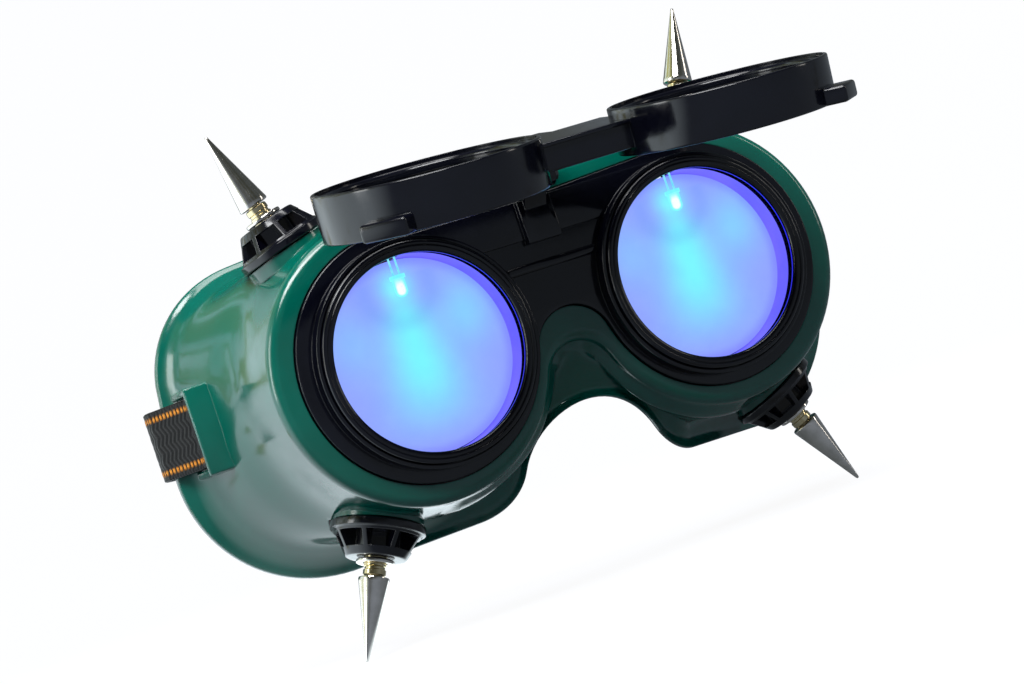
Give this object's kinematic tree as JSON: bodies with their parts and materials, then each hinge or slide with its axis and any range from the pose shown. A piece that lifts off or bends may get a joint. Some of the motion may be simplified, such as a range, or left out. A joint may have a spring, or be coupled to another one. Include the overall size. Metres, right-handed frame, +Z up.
{
  "type": "welding goggles",
  "caption": "Flip-up welding goggles: vinyl face shell, black lens plate, hinged shade cups, lit round lenses, vent caps with screw-on spikes and an elastic strap.",
  "frame": {"origin": "midway between the temples, in the plane of the flange's rear edge there, level with the lens axes", "axes": "+X across the face, the front looks along -Y, +Y towards the wearer's head, +Z up"},
  "size_m": [0.1884, 0.1574, 0.1298],
  "materials": {
    "green_vinyl": "glossy soft vinyl",
    "black_plastic": "glossy blue-black",
    "clear_lens": "clear",
    "diffuser": "translucent, lit blue from in front",
    "led": "clear lamp with tinned leads",
    "shade_glass": "dark welding shade",
    "nickel": "polished nickel",
    "gold_screw": "yellow passivated",
    "pin_steel": "plain",
    "webbing": "woven elastic with orange threads near both edges",
    "wire": "insulated twin lead"
  },
  "bodies": {
    "goggle_body": {"face_shell": "green_vinyl", "front_plate": "black_plastic", "clear_lens_L": "clear_lens", "clear_lens_R": "clear_lens", "diffuser_L": "diffuser", "diffuser_R": "diffuser", "led_L": "led", "led_R": "led", "led_wire_L": "wire", "led_wire_R": "wire", "hinge_pin": "pin_steel", "vent_cap_upper_L": "black_plastic", "spike_screw_upper_L": "gold_screw", "spike_collar_upper_L": "nickel", "spike_upper_L": "nickel", "vent_cap_upper_R": "black_plastic", "spike_screw_upper_R": "gold_screw", "spike_collar_upper_R": "nickel", "spike_upper_R": "nickel", "vent_cap_lower_L": "black_plastic", "spike_screw_lower_L": "gold_screw", "spike_collar_lower_L": "nickel", "spike_lower_L": "nickel", "vent_cap_lower_R": "black_plastic", "spike_screw_lower_R": "gold_screw", "spike_collar_lower_R": "nickel", "spike_lower_R": "nickel", "battery_holder": "black_plastic", "coin_cell": "nickel", "battery_clip": "nickel", "switch_body": "black_plastic", "strap": "webbing"},
    "eye_ring_left": {"eye_ring_L": "black_plastic"},
    "eye_ring_right": {"eye_ring_R": "black_plastic"},
    "flip_up": {"flip_frame": "black_plastic", "shade_lens_L": "shade_glass", "shade_lens_R": "shade_glass"},
    "flip_ring_left": {"flip_ring_L": "black_plastic"},
    "flip_ring_right": {"flip_ring_R": "black_plastic"},
    "power_switch": {"switch_knob": "black_plastic"},
    "slider": {"strap_slider": "black_plastic"}
  },
  "joints": [
    {"name": "flip_hinge", "type": "hinge", "parent": "goggle_body", "child": "flip_up", "pos_m": [0, -0.0513, 0.0317], "axis": [1, 0, 0], "range_deg": [-15, 79.4]},
    {"name": "eye_ring_left_turn", "type": "hinge", "parent": "goggle_body", "child": "eye_ring_left", "pos_m": [-0.03775, -0.052, 0], "axis": [0, -1, 0], "range_deg": [0, 360]},
    {"name": "eye_ring_right_turn", "type": "hinge", "parent": "goggle_body", "child": "eye_ring_right", "pos_m": [0.03775, -0.052, 0], "axis": [0, -1, 0], "range_deg": [0, 360]},
    {"name": "flip_ring_left_turn", "type": "hinge", "parent": "flip_up", "child": "flip_ring_left", "pos_m": [-0.03775, -0.0847, 0.03786], "axis": [0, -0.1839, 0.9829], "range_deg": [0, 360]},
    {"name": "flip_ring_right_turn", "type": "hinge", "parent": "flip_up", "child": "flip_ring_right", "pos_m": [0.03775, -0.0847, 0.03786], "axis": [0, -0.1839, 0.9829], "range_deg": [0, 360]},
    {"name": "power_switch_slide", "type": "slide", "parent": "goggle_body", "child": "power_switch", "axis": [1, 0, 0], "range_m": [-0.003, 0]},
    {"name": "strap_slider_slide", "type": "slide", "parent": "goggle_body", "child": "slider", "axis": [1, 0, 0], "range_m": [-0.036, 0.016]}
  ]
}
